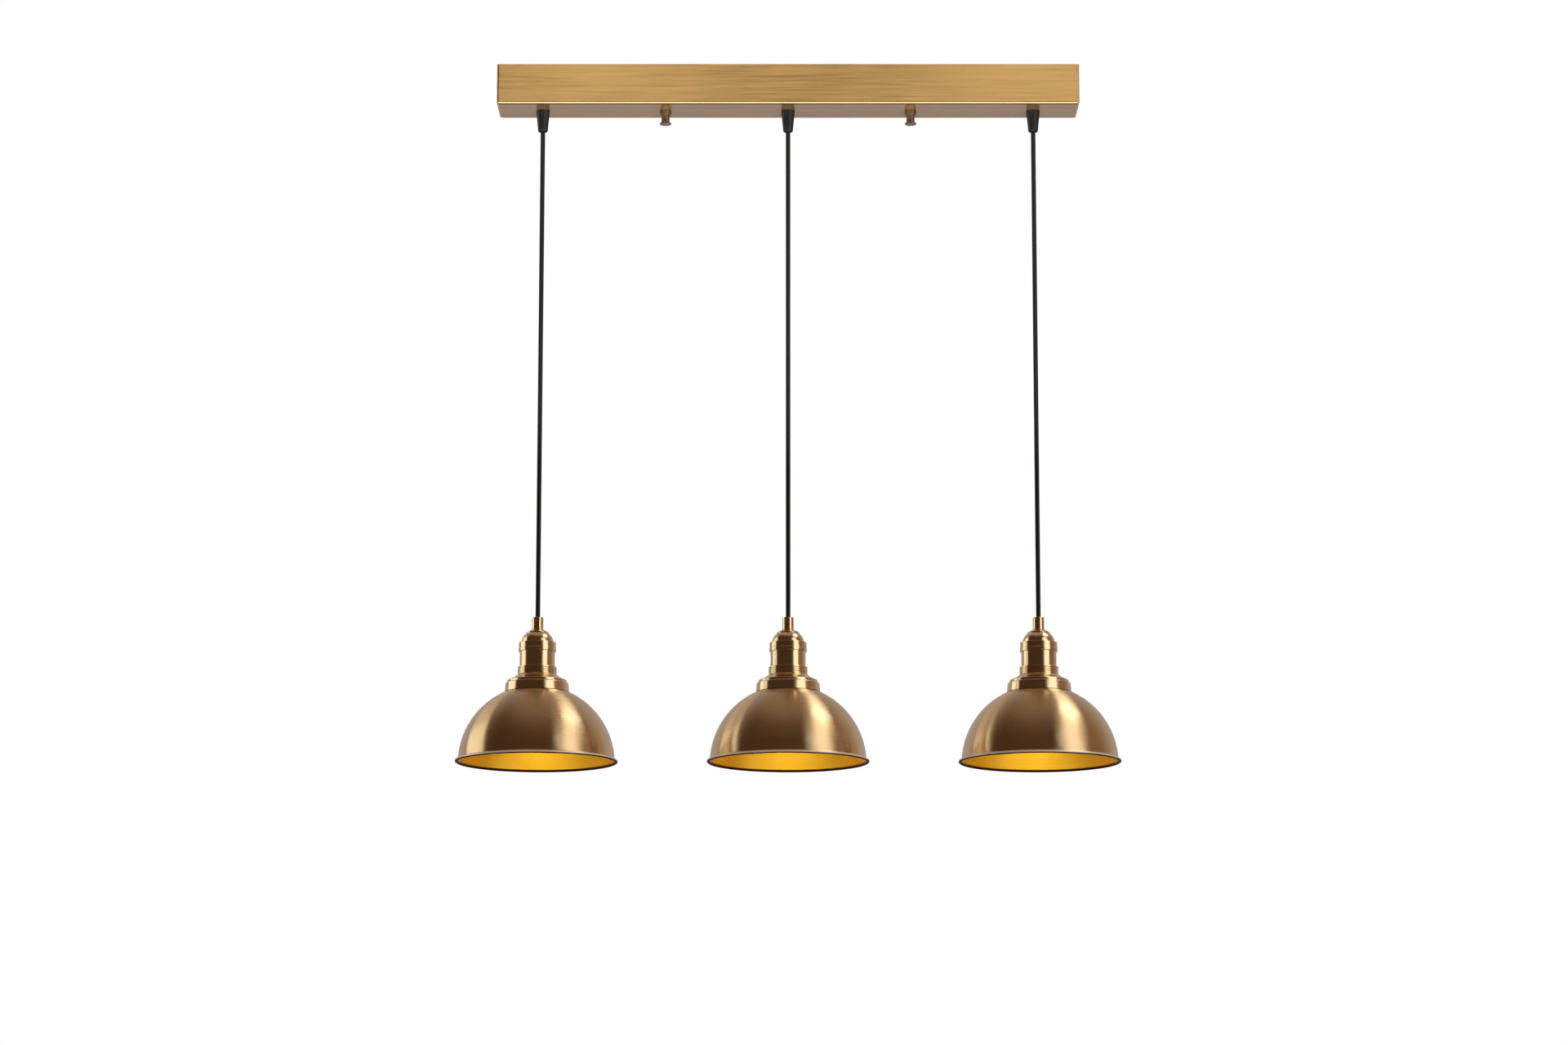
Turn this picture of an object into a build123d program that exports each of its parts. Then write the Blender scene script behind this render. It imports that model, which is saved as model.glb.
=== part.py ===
from build123d import *
import os
from math import sqrt

# Three-light linear pendant, in millimetres.
# The origin is on the ceiling, at the middle of the canopy. X runs along the canopy, the front
# faces -Y and +Z points up, so everything hangs below Z = 0.

# Canopy, a folded sheet-metal box that is open towards the ceiling
canopy_length = 710.0
canopy_depth = 66.0
canopy_height = 50.0
canopy_wall = 1.2
fold_inside_radius = 1.6
cord_inset = 55.0

# Ceiling bracket, a steel strip with slots for two ceiling screws and a hole for the supply cable
bracket_width = 30.0
bracket_thickness = 2.5
bracket_end = 22.0
slot_spacing = 210.0
slot_length = 16.0
slot_width = 5.2
cable_hole_diameter = 14.0
cable_hole_x = -50.0

# Studs on the bracket, with their lock nuts
stud_diameter = 5.0
stud_reach = 10.0
stud_nut_flats = 8.0
stud_nut_thickness = 4.0

# Thumb nuts, turned like a spool
thumb_collar_diameter = 14.1
thumb_collar_height = 5.6
thumb_waist_diameter = 10.0
thumb_flange_diameter = 14.1
thumb_flange_thickness = 1.6
thumb_nut_length = 17.1
thumb_hole_spare = 2.0

# Cord grips, moulded cones with a threaded spigot and a lock nut
grip_base_diameter = 16.5
grip_tip_diameter = 11.7
grip_length = 27.0
grip_tip_round = 2.4
grip_land = 1.0
spigot_diameter = 10.0
spigot_length = 7.5
grip_nut_flats = 14.0
grip_nut_thickness = 3.5
grip_screw_diameter = 4.0
grip_screw_drop = 9.0

# Cords, and the two places where each one bends
cord_diameter = 5.6
cord_drop = 601.5
bend_below_grip = 3.0
bend_spacing = 57.0

# Cord tails inside the canopy
tail_bend_radius = 17.0
side_tail_height = -13.0
middle_tail_height = -24.0
tail_side_step = 12.0
tail_side_run = 100.0
tail_side_radius = 150.0
tail_to_block = 26.0
core_diameter = 2.0
core_spread = 1.25
core_entry = 8.0
core_arc_radius = 6.0

# Terminal block under the bracket
block_x = 60.0
block_length = 22.0
block_height = 14.0
pole_pitch = 9.0
pole_width = 7.6
wire_hole_diameter = 5.2
wire_hole_drop = 8.0
pole_screw_diameter = 3.6
pole_screw_length = 3.0
pole_screw_spacing = 14.0
web_length = 9.0
web_height = 5.0
block_screw_diameter = 2.5
block_screw_head_diameter = 4.6
block_screw_head_height = 1.8

# Dome shade, spun with a rolled rim and a flat crown
dome_radius = 93.4
dome_centre_drop = 2.4
shade_wall = 1.0
rim_overhang = 3.63
rim_bead_radius = 1.75
crown_inset = 4.6

# Gallery, the stepped cover between the shade and the socket
gallery_radius = 38.5
gallery_wall = 1.0
gallery_taper = 0.9
gallery_skirt_height = 10.2
gallery_ledge = 2.2
gallery_ledge_rise = 0.9
gallery_riser_height = 2.6
gallery_roof_rise = 3.8
gallery_neck_rise = 3.2
gallery_neck_flare = 4.0
gallery_edge_round = 0.9

# Shade ring with finger grooves, threaded on the socket shell
ring_wall = 2.2
ring_height = 9.3
groove_count = 3
groove_radius = 0.55

# Socket shell
shell_radius = 21.0
shell_wall = 1.0
shell_show = 18.4
shell_below_crown = 15.0
shell_in_cap = 6.0
shell_lip = 3.5

# Socket cap with its skirt band
skirt_wall = 1.1
skirt_height = 11.1
skirt_bead = 0.35
skirt_bead_height = 4.0
cap_step = 3.1
cap_wall = 1.0
cap_dome_height = 10.8
cap_shoulder_radius = 13.7
cap_bulge = 1.6
cap_shoulder_height = 1.6
cap_cone_height = 3.6

# Ferrule that holds the cord
ferrule_radius = 6.8
ferrule_height = 14.5
ferrule_round = 0.6
ferrule_spigot_radius = 5.0
ferrule_spigot_length = 6.0
ferrule_screw_diameter = 3.0

# Lamp holder, with an E27 screw shell
screw_shell_radius = 13.5
screw_shell_wall = 0.6
screw_shell_length = 25.0
screw_shell_inset = 4.0
holder_floor = 9.0
contact_radius = 3.6
contact_height = 2.2
contact_gap = 1.2
contact_well_radius = 7.2
wire_duct_diameter = 3.2
wire_duct_offset = 5.8

# Retaining ring inside the shade
retainer_edge_gap = 3.0
retainer_flange = 2.6
retainer_sleeve_wall = 3.0
retainer_height = 7.0
retainer_notches = 12
notch_radius = 2.0

# Clearances
thread_gap = 0.05
seat_gap = 0.1
cord_gap = 0.15
bend_gap = 0.25
hole_gap = 0.3

# Heights in the canopy
underside = -canopy_height
floor_top = underside + canopy_wall
bracket_under = -bracket_thickness
grip_mouth = underside - grip_length
upper_bend = grip_mouth - bend_below_grip
lower_bend = upper_bend - bend_spacing
stud_tip = underside - stud_reach
ferrule_top_world = grip_mouth - cord_drop
cord_radius = cord_diameter / 2
cord_bore = cord_radius + cord_gap

# Places along the canopy: the studs stand halfway between the cords
lamp_pitch = canopy_length / 2 - cord_inset
lamp_places = {"left": -lamp_pitch, "middle": 0.0, "right": lamp_pitch}
stud_places = {"left": -lamp_pitch / 2, "right": lamp_pitch / 2}
left_tail_end = block_x - block_length / 2 - tail_to_block
right_tail_end = block_x + block_length / 2 + tail_to_block
tail_end_x = {"left": left_tail_end, "middle": left_tail_end, "right": right_tail_end}
tail_end_y = {"left": tail_side_step, "middle": 0.0, "right": -tail_side_step}
tail_height = {"left": side_tail_height, "middle": middle_tail_height, "right": side_tail_height}


def dome_height(radius, ball_radius=dome_radius):
    """Height above the rim at which the shade's ball has this radius."""
    return sqrt(ball_radius**2 - radius**2) - dome_centre_drop


def dome_reach(height, ball_radius):
    """Radius of the shade's ball at this height above the rim."""
    return sqrt(ball_radius**2 - (height + dome_centre_drop) ** 2)


# Radii and heights in a lamp, above the plane of its rim
rim_radius = dome_reach(0, dome_radius) + rim_overhang
crown_radius = gallery_radius - gallery_wall - crown_inset
crown_top = dome_height(crown_radius)
crown_under = crown_top - shade_wall
gallery_bottom = dome_height(gallery_radius - gallery_wall) + seat_gap
gallery_shoulder = gallery_bottom + gallery_skirt_height
gallery_riser_bottom = gallery_shoulder + gallery_ledge_rise
gallery_riser_top = gallery_riser_bottom + gallery_riser_height
gallery_knee = gallery_riser_top + gallery_roof_rise
gallery_top = gallery_knee + gallery_neck_rise
ring_top = gallery_top + ring_height
skirt_bottom = ring_top + shell_show
skirt_top = skirt_bottom + skirt_height
cap_dome_top = skirt_top + cap_dome_height
cap_shoulder_top = cap_dome_top + cap_shoulder_height
cap_top = cap_shoulder_top + cap_cone_height
ferrule_top = cap_top + ferrule_height
shell_bottom = crown_top - shell_below_crown
shell_top = skirt_bottom + shell_in_cap
screw_shell_bottom = shell_bottom + shell_wall + screw_shell_inset
screw_shell_top = screw_shell_bottom + screw_shell_length
holder_ceiling = screw_shell_top + contact_gap + contact_height
rim_world = ferrule_top_world - ferrule_top


def turned(*outline):
    """A turned piece about Z, from the edges of a closed outline of (radius, height)."""
    return revolve(Plane.XZ * make_face(outline), Axis.Z)


def turned_points(*points):
    """A turned piece about Z, from corners of (radius, height, rounding)."""
    corners = [point[:2] for point in points]
    rounding = [point[2] if len(point) > 2 else 0 for point in points]
    return turned(FilletPolyline(*corners, radius=rounding, close=True))


def rod(radius, bottom, top, place=(0, 0)):
    """A round bar along Z between two heights."""
    bar = Cylinder(radius, top - bottom, align=(Align.CENTER, Align.CENTER, Align.MIN))
    return Pos(*place, bottom) * bar


def side_rod(radius, start, end, height):
    """A round bar along Y between two distances behind the axis."""
    edge = Plane(origin=(0, start, height), z_dir=(0, 1, 0))
    return extrude(edge * Circle(radius), end - start)


def long_rod(radius, start, end, y, z):
    """A round bar along X."""
    edge = Plane(origin=(start, y, z), z_dir=(1, 0, 0))
    return extrude(edge * Circle(radius), end - start)


def hex_nut(flats, bore_radius, bottom, top):
    """A hexagon nut with chamfered corners."""
    hexagon = RegularPolygon(flats / 2, 6, major_radius=False)
    blank = Pos(0, 0, bottom) * extrude(hexagon, top - bottom)
    corner = flats / sqrt(3)
    slope = corner - flats / 2
    cone = turned_points(
        (0, bottom),
        (flats / 2, bottom),
        (corner, bottom + slope / 2),
        (corner, top - slope / 2),
        (flats / 2, top),
        (0, top),
    )
    return (blank & cone) - rod(bore_radius, bottom, top)


def tube_path(radius, points, radii):
    """A tube of round section along straight runs and tangent arcs."""
    path = FilletPolyline(*points, radius=radii)
    start = Plane(origin=path @ 0, z_dir=path % 0)
    return sweep(start * Circle(radius), path)


def folded_box(length, depth, top, bottom, radius):
    """A block whose upright and lower edges are folded to one radius."""
    hung = (Align.CENTER, Align.CENTER, Align.MAX)
    block = Pos(0, 0, top) * Box(length, depth, top - bottom, align=hung)
    lower = block.faces().sort_by(Axis.Z)[0].edges()
    return fillet(block.edges().filter_by(Axis.Z) + lower, radius)


def make_canopy_housing():
    fold_outside = fold_inside_radius + canopy_wall
    outside = folded_box(canopy_length, canopy_depth, 0, underside, fold_outside)
    inside_length = canopy_length - 2 * canopy_wall
    inside_depth = canopy_depth - 2 * canopy_wall
    box = outside - folded_box(inside_length, inside_depth, 0, floor_top, fold_inside_radius)
    for x in lamp_places.values():
        box -= rod(spigot_diameter / 2 + hole_gap, underside, floor_top, (x, 0))
    for x in stud_places.values():
        box -= rod(stud_diameter / 2 + hole_gap, underside, floor_top, (x, 0))
    return box


def block_screw_places():
    """Between the poles of the terminal block."""
    return [(block_x, -pole_pitch / 2), (block_x, pole_pitch / 2)]


def make_ceiling_bracket():
    outline = SlotOverall(lamp_pitch + 2 * bracket_end, bracket_width)
    outline -= Pos(cable_hole_x, 0) * Circle(cable_hole_diameter / 2)
    for side in (-1, 1):
        outline -= Pos(side * slot_spacing / 2, 0) * SlotOverall(slot_length, slot_width)
    for x in stud_places.values():
        outline -= Pos(x, 0) * Circle(stud_diameter / 2 + thread_gap)
    for place in block_screw_places():
        outline -= Pos(*place) * Circle(block_screw_diameter / 2 + thread_gap)
    return Pos(0, 0, bracket_under) * extrude(outline, bracket_thickness)


def make_bracket_studs():
    tip_chamfer = stud_diameter / 8
    shank = turned_points(
        (0, stud_tip),
        (stud_diameter / 2 - tip_chamfer, stud_tip),
        (stud_diameter / 2, stud_tip + tip_chamfer),
        (stud_diameter / 2, 0),
        (0, 0),
    )
    return [Pos(x, 0, 0) * shank for x in stud_places.values()]


def make_stud_lock_nuts():
    bottom = bracket_under - stud_nut_thickness
    nut = hex_nut(stud_nut_flats, stud_diameter / 2 + thread_gap, bottom, bracket_under)
    return [Pos(x, 0, 0) * nut for x in stud_places.values()]


def make_thumb_nut():
    """A spool with a collar against the canopy, a waist and a thin flange to turn it by."""
    top = underside - seat_gap
    bottom = top - thumb_nut_length
    collar = thumb_collar_diameter / 2
    waist = thumb_waist_diameter / 2
    flange = thumb_flange_diameter / 2
    hole = stud_diameter / 2 + thread_gap
    hole_end = stud_tip - thumb_hole_spare
    sweep_in = min(collar, flange) - waist
    return turned_points(
        (hole, top),
        (collar, top, thumb_flange_thickness / 4),
        (collar, top - thumb_collar_height, thumb_flange_thickness / 2),
        (waist, top - thumb_collar_height, sweep_in / 3),
        (waist, bottom + thumb_flange_thickness + sweep_in / 2, sweep_in / 2),
        (flange, bottom + thumb_flange_thickness, thumb_flange_thickness / 4),
        (flange, bottom, thumb_flange_thickness / 4),
        (0, bottom),
        (0, hole_end),
        (hole, hole_end),
    )


def make_cord_grip():
    base = grip_base_diameter / 2
    tip = grip_tip_diameter / 2
    spigot = spigot_diameter / 2
    body = turned_points(
        (cord_bore, floor_top + spigot_length),
        (spigot, floor_top + spigot_length),
        (spigot, underside),
        (base, underside),
        (base, underside - grip_land),
        (tip, grip_mouth, grip_tip_round),
        (cord_bore, grip_mouth),
    )
    screw_height = underside - grip_screw_drop
    return body - side_rod(grip_screw_diameter / 2 + thread_gap, 0, base, screw_height)


def grip_radius_at(height):
    """Outside radius of a cord grip's cone."""
    share = (underside - height) / grip_length
    return (grip_base_diameter + (grip_tip_diameter - grip_base_diameter) * share) / 2


def make_grip_clamp_screws():
    height = underside - grip_screw_drop
    flush = grip_radius_at(height - grip_screw_diameter / 2)
    screw = side_rod(grip_screw_diameter / 2, cord_bore, flush, height)
    return [Pos(x, 0, 0) * screw for x in lamp_places.values()]


def make_grip_lock_nuts():
    bore = spigot_diameter / 2 + thread_gap
    nut = hex_nut(grip_nut_flats, bore, floor_top, floor_top + grip_nut_thickness)
    return [Pos(x, 0, 0) * nut for x in lamp_places.values()]


def make_cord_tail(name):
    """The end of a cord inside the canopy: up out of its grip, then along towards the block."""
    x = lamp_places[name]
    height = tail_height[name]
    end = (tail_end_x[name], tail_end_y[name], height)
    points = [(x, 0, grip_mouth + seat_gap), (x, 0, height)]
    radii = [tail_bend_radius]
    if tail_end_y[name]:
        inward = 1 if end[0] > x else -1
        points.append((x + inward * tail_side_run, end[1], height))
        radii.append(tail_side_radius)
    return tube_path(cord_radius, points + [end], radii)


def make_core(name, pole):
    """One insulated core from the end of a tail into its pole of the terminal block."""
    inward = 1 if tail_end_x[name] < block_x else -1
    face = block_x - inward * block_length / 2
    level = core_diameter / 2 + seat_gap
    above = -1 if name == "middle" else 1
    pole_height = bracket_under - wire_hole_drop + above * level
    start_x = tail_end_x[name] + inward * seat_gap
    start_y = tail_end_y[name] + pole * core_spread * sqrt(3) / 2
    start_z = tail_height[name] + (-core_spread / 2 if pole else core_spread)
    points = [
        (start_x, start_y, start_z),
        (start_x + inward * tail_to_block / 4, start_y, start_z),
        (face - inward * tail_to_block / 4, pole * pole_pitch, pole_height),
        (face + inward * core_entry, pole * pole_pitch, pole_height),
    ]
    return tube_path(core_diameter / 2, points, core_arc_radius)


def make_cores(pole):
    return [make_core(name, pole) for name in lamp_places]


def make_terminal_block():
    """Three poles on a thin web, with wire holes along X and a screw well at each end."""
    hung = (Align.CENTER, Align.CENTER, Align.MAX)
    block_under = bracket_under - block_height
    wire_height = bracket_under - wire_hole_drop
    block = Pos(block_x, 0, bracket_under) * Box(web_length, 3 * pole_pitch, web_height, align=hung)
    for pole in (-1, 0, 1):
        y = pole * pole_pitch
        barrel = Box(block_length, pole_width, block_height, align=hung)
        barrel = fillet(barrel.edges().filter_by(Axis.X), pole_width / 8)
        block += Pos(block_x, y, bracket_under) * barrel
    for pole in (-1, 0, 1):
        y = pole * pole_pitch
        start = block_x - block_length / 2
        block -= long_rod(wire_hole_diameter / 2, start, start + block_length, y, wire_height)
        for end in (-1, 1):
            x = block_x + end * pole_screw_spacing / 2
            well = pole_screw_diameter / 2 + thread_gap
            block -= rod(well, block_under, wire_height, (x, y))
    for place in block_screw_places():
        shank = block_screw_diameter / 2 + thread_gap
        block -= rod(shank, block_under, bracket_under, place)
        head = block_screw_head_diameter / 2 + hole_gap
        block -= rod(head, block_under, bracket_under - web_height, place)
    return block


def make_terminal_screws():
    """Slotted screws in the wells of the block, just clear of the wires."""
    top = bracket_under - wire_hole_drop - wire_hole_diameter / 2
    bottom = top - pole_screw_length
    blank = rod(pole_screw_diameter / 2, bottom, top)
    slot = Box(pole_screw_diameter, pole_screw_diameter / 5, pole_screw_length / 2)
    screw = blank - Pos(0, 0, bottom) * slot
    xs = [block_x - pole_screw_spacing / 2, block_x + pole_screw_spacing / 2]
    return [Pos(x, pole * pole_pitch, 0) * screw for x in xs for pole in (-1, 0, 1)]


def make_block_screws():
    top = bracket_under - web_height
    bottom = top - block_screw_head_height
    radius = block_screw_head_diameter / 2
    head = turned_points(
        (0, bottom),
        (radius, bottom, block_screw_head_height / 2),
        (radius, top),
        (0, top),
    )
    slot = Box(block_screw_head_diameter, block_screw_head_height / 2, block_screw_head_height)
    screw = rod(block_screw_diameter / 2, top, 0) + head - Pos(0, 0, bottom) * slot
    return [Pos(*place, 0) * screw for place in block_screw_places()]


def make_cord_bend():
    """The stretch of cord between its two bends, with a round end at the upper one."""
    ball = Pos(0, 0, upper_bend) * Sphere(cord_radius)
    return ball + rod(cord_radius, lower_bend + cord_radius + bend_gap, upper_bend)


def make_cord():
    """The long straight stretch, from the lower bend into the socket cap."""
    ball = Pos(0, 0, lower_bend) * Sphere(cord_radius)
    end = rim_world + cap_top - ferrule_spigot_length - seat_gap
    return ball + rod(cord_radius, end, lower_bend)


def make_ferrule():
    body = turned_points(
        (cord_bore, cap_top - ferrule_spigot_length),
        (ferrule_spigot_radius, cap_top - ferrule_spigot_length),
        (ferrule_spigot_radius, cap_top),
        (ferrule_radius, cap_top),
        (ferrule_radius, ferrule_top, ferrule_round),
        (cord_bore, ferrule_top),
    )
    screw_height = cap_top + ferrule_height / 2
    return body - side_rod(ferrule_screw_diameter / 2 + thread_gap, 0, ferrule_radius, screw_height)


def make_ferrule_screw():
    height = cap_top + ferrule_height / 2
    flush = ferrule_radius - ferrule_round
    return side_rod(ferrule_screw_diameter / 2, cord_bore, flush, height)


def make_socket_cap():
    """A stepped spun cap: skirt band with a bead, swelling dome, shoulder and low cone."""
    bore = shell_radius + thread_gap
    skirt = bore + skirt_wall
    bead = skirt + skirt_bead
    foot = skirt - cap_step
    neck = cap_shoulder_radius - cap_wall / 2
    hole = ferrule_spigot_radius + thread_gap
    swell = ((foot + cap_shoulder_radius) / 2 + cap_bulge, (skirt_top + cap_dome_top) / 2)
    outside = [
        FilletPolyline(
            (bore, skirt_bottom),
            (bead, skirt_bottom),
            (bead, skirt_bottom + skirt_bead_height),
            (skirt, skirt_bottom + skirt_bead_height + skirt_bead),
            (skirt, skirt_top),
            (foot, skirt_top),
            radius=[skirt_bead, skirt_bead, 0, skirt_bead],
        ),
        ThreePointArc((foot, skirt_top), swell, (cap_shoulder_radius, cap_dome_top)),
        Polyline(
            (cap_shoulder_radius, cap_dome_top),
            (neck, cap_shoulder_top),
            (ferrule_radius, cap_top),
            (hole, cap_top),
            (hole, cap_top - cap_wall),
            (ferrule_radius, cap_top - cap_wall),
            (neck - cap_wall, cap_shoulder_top - cap_wall),
            (cap_shoulder_radius - cap_wall, cap_dome_top - cap_wall),
        ),
    ]
    inside = [
        ThreePointArc(
            (cap_shoulder_radius - cap_wall, cap_dome_top - cap_wall),
            (swell[0] - cap_wall, swell[1] - cap_wall),
            (foot - cap_wall, skirt_top - cap_wall),
        ),
        Polyline(
            (foot - cap_wall, skirt_top - cap_wall),
            (bore, skirt_top - cap_wall),
            (bore, skirt_bottom),
        ),
    ]
    return turned(*outside, *inside)


def make_socket_shell():
    """A tube that carries the rings and the cap, with a lip that the lamp holder stands on."""
    inside = shell_radius - shell_wall
    return turned_points(
        (inside - shell_lip, shell_bottom),
        (shell_radius, shell_bottom, shell_wall / 3),
        (shell_radius, shell_top),
        (inside, shell_top),
        (inside, shell_bottom + shell_wall),
        (inside - shell_lip, shell_bottom + shell_wall),
    )


def make_shade_ring():
    """A threaded ring with round finger grooves."""
    bore = shell_radius + thread_gap
    outside = bore + ring_wall
    ring = turned_points(
        (bore, gallery_top),
        (outside, gallery_top, groove_radius),
        (outside, ring_top, groove_radius),
        (bore, ring_top),
    )
    step = ring_height / (groove_count + 1)
    for number in range(groove_count):
        height = gallery_top + step * (number + 1)
        ring -= Pos(0, 0, height) * Torus(outside, groove_radius)
    return ring


def make_gallery():
    """A spun cover: tapered skirt, ledge, riser, roof and flared neck, of one thickness."""
    bore = shell_radius + thread_gap
    top_radius = bore + ring_wall
    outside = [
        (gallery_radius, gallery_bottom),
        (gallery_radius - gallery_taper, gallery_shoulder),
        (gallery_radius - gallery_taper - gallery_ledge, gallery_riser_bottom),
        (gallery_radius - gallery_taper - gallery_ledge, gallery_riser_top),
        (top_radius + gallery_neck_flare, gallery_knee),
        (top_radius, gallery_top),
    ]
    rounding = [0, gallery_edge_round, gallery_edge_round / 3, gallery_edge_round, 0, 0]
    inside = [(radius - gallery_wall, height - gallery_wall) for radius, height in outside[1:]]
    corners = [(*point, size) for point, size in zip(outside, rounding)]
    corners += [(bore, gallery_top), (bore, gallery_top - gallery_wall)]
    corners += inside[::-1]
    corners += [(gallery_radius - gallery_wall, gallery_bottom)]
    return turned_points(*corners)


def make_shade():
    """A spun hemisphere with a flat crown for its fitter and a rim that is flared and rolled."""
    hole = shell_radius + hole_gap
    corner = (Align.MIN, Align.MIN)
    ball = Pos(0, -dome_centre_drop) * (Circle(dome_radius) - Circle(dome_radius - shade_wall))
    window = Rectangle(dome_radius, crown_top, align=corner)
    crown_edge = dome_reach(crown_under, dome_radius)
    crown = Pos(hole, crown_under) * Rectangle(crown_edge - hole, shade_wall, align=corner)
    crown &= Pos(0, -dome_centre_drop) * Circle(dome_radius)
    inner_edge = dome_reach(0, dome_radius - shade_wall)
    lip_width = rim_radius - rim_bead_radius - inner_edge
    lip = Pos(inner_edge, 0) * Rectangle(lip_width, shade_wall, align=(Align.MIN, Align.CENTER))
    bead = Pos(rim_radius - rim_bead_radius, 0) * Circle(rim_bead_radius)
    return revolve(Plane.XZ * ((ball & window) + crown + lip + bead), Axis.Z)


def make_lamp_holder():
    """A ceramic body that fills the shell, with a deep socket below and wire ducts above."""
    radius = shell_radius - shell_wall - seat_gap
    foot = shell_bottom + shell_wall
    top = holder_ceiling + holder_floor
    socket = screw_shell_radius + screw_shell_wall + seat_gap
    body = turned_points(
        (socket, foot),
        (radius, foot),
        (radius, top, shell_wall),
        (0, top),
        (0, holder_ceiling),
        (contact_well_radius, holder_ceiling),
        (socket, screw_shell_top),
    )
    for side in (-1, 1):
        body -= rod(wire_duct_diameter / 2, holder_ceiling, top, (side * wire_duct_offset, 0))
    return body


def make_screw_shell():
    """The threaded shell of the socket, plain inside at its working radius."""
    outside = screw_shell_radius + screw_shell_wall
    return turned_points(
        (screw_shell_radius, screw_shell_bottom),
        (outside, screw_shell_bottom),
        (outside, screw_shell_top),
        (screw_shell_radius, screw_shell_top),
    )


def make_centre_contact():
    """A domed contact button on the socket's ceiling."""
    tip = holder_ceiling - contact_height
    return turned_points(
        (0, tip),
        (contact_radius, tip, contact_height / 2),
        (contact_radius, holder_ceiling),
        (0, holder_ceiling),
    )


def make_retaining_ring():
    """A notched ring, threaded on the shell, that clamps the crown of the shade from inside."""
    bore = shell_radius + thread_gap
    top = crown_under - seat_gap
    bottom = top - retainer_height
    flange = crown_radius - retainer_edge_gap
    ring = turned_points(
        (bore, bottom),
        (bore + retainer_sleeve_wall, bottom, shell_wall / 2),
        (bore + retainer_sleeve_wall, top - retainer_flange),
        (flange, top - retainer_flange, shell_wall / 2),
        (flange, top),
        (bore, top),
    )
    notch = rod(notch_radius, top - retainer_flange, top, (flange + notch_radius / 2, 0))
    for number in range(retainer_notches):
        ring -= Rot(0, 0, number * 360 / retainer_notches) * notch
    return ring


def save(name, solids):
    """Write one piece, or a group of like pieces, to its own file."""
    shape = Compound(children=solids) if isinstance(solids, list) else solids
    export_step(shape, f"parts/{name}.step")


canopy_pieces = {
    "canopy_housing": make_canopy_housing,
    "ceiling_bracket": make_ceiling_bracket,
    "bracket_studs": make_bracket_studs,
    "stud_lock_nuts": make_stud_lock_nuts,
    "grip_lock_nuts": make_grip_lock_nuts,
    "grip_clamp_screws": make_grip_clamp_screws,
    "terminal_block": make_terminal_block,
    "terminal_screws": make_terminal_screws,
    "block_screws": make_block_screws,
}
core_poles = {"live_cores": 1, "neutral_cores": 0, "earth_cores": -1}
cord_pieces = {
    "cord_grip": make_cord_grip,
    "cord_bend": make_cord_bend,
    "cord": make_cord,
}
lamp_pieces = {
    "ferrule": make_ferrule,
    "ferrule_screw": make_ferrule_screw,
    "socket_cap": make_socket_cap,
    "socket_shell": make_socket_shell,
    "shade_ring": make_shade_ring,
    "gallery": make_gallery,
    "shade": make_shade,
    "lamp_holder": make_lamp_holder,
    "screw_shell": make_screw_shell,
    "centre_contact": make_centre_contact,
    "retaining_ring": make_retaining_ring,
}

os.makedirs("parts", exist_ok=True)
for piece_name, make_piece in canopy_pieces.items():
    save(piece_name, make_piece())
for piece_name, pole_number in core_poles.items():
    save(piece_name, make_cores(pole_number))
for side_name, stud_x in stud_places.items():
    save(f"thumb_nut_{side_name}", Pos(stud_x, 0, 0) * make_thumb_nut())
for lamp_name, lamp_x in lamp_places.items():
    save(f"cord_tail_{lamp_name}", make_cord_tail(lamp_name))
    for piece_name, make_piece in cord_pieces.items():
        save(f"{piece_name}_{lamp_name}", Pos(lamp_x, 0, 0) * make_piece())
    for piece_name, make_piece in lamp_pieces.items():
        save(f"{piece_name}_{lamp_name}", Pos(lamp_x, 0, rim_world) * make_piece())

overall_height = rim_bead_radius - rim_world
print(f"rim plane {rim_world:.1f}, lamp height {ferrule_top:.1f}, overall height {overall_height:.1f}")
print(f"crown {crown_top:.2f}, gallery {gallery_bottom:.2f} to {gallery_top:.2f}, cap {cap_top:.2f}")
print(f"screw shell from {screw_shell_bottom + rim_world:.3f}, {screw_shell_length} long")
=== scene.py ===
"""Dresses the three-light brass pendant: cords, spun shades, bulb sockets, finishes and studio."""

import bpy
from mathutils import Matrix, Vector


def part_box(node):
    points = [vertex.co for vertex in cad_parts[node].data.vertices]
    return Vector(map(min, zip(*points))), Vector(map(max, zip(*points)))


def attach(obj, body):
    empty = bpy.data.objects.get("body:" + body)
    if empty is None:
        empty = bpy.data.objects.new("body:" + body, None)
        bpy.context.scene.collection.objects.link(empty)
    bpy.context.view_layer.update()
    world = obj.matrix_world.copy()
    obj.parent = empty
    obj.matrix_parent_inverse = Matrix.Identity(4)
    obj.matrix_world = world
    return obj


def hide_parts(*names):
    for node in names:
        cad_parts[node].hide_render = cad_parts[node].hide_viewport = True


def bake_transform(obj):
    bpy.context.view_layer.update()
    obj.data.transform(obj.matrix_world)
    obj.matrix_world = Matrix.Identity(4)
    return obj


bl_info = {
    "name": "Three-light brass pendant",
    "version": (1, 0, 0),
    "blender": (4, 5, 0),
    "location": "3D View > Sidebar > Pendant",
    "description": "Builds the cords, shades, sockets, finishes and studio of a three-light pendant",
    "category": "Object",
}

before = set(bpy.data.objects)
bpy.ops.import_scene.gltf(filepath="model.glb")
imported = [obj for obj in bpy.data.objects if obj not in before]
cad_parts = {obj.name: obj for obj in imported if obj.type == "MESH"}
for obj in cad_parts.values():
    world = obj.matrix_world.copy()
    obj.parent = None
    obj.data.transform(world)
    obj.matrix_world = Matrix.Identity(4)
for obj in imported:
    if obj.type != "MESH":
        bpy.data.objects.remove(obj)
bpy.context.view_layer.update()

from math import cos, radians, sin, sqrt

import bpy
from mathutils import Quaternion, Vector

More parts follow.
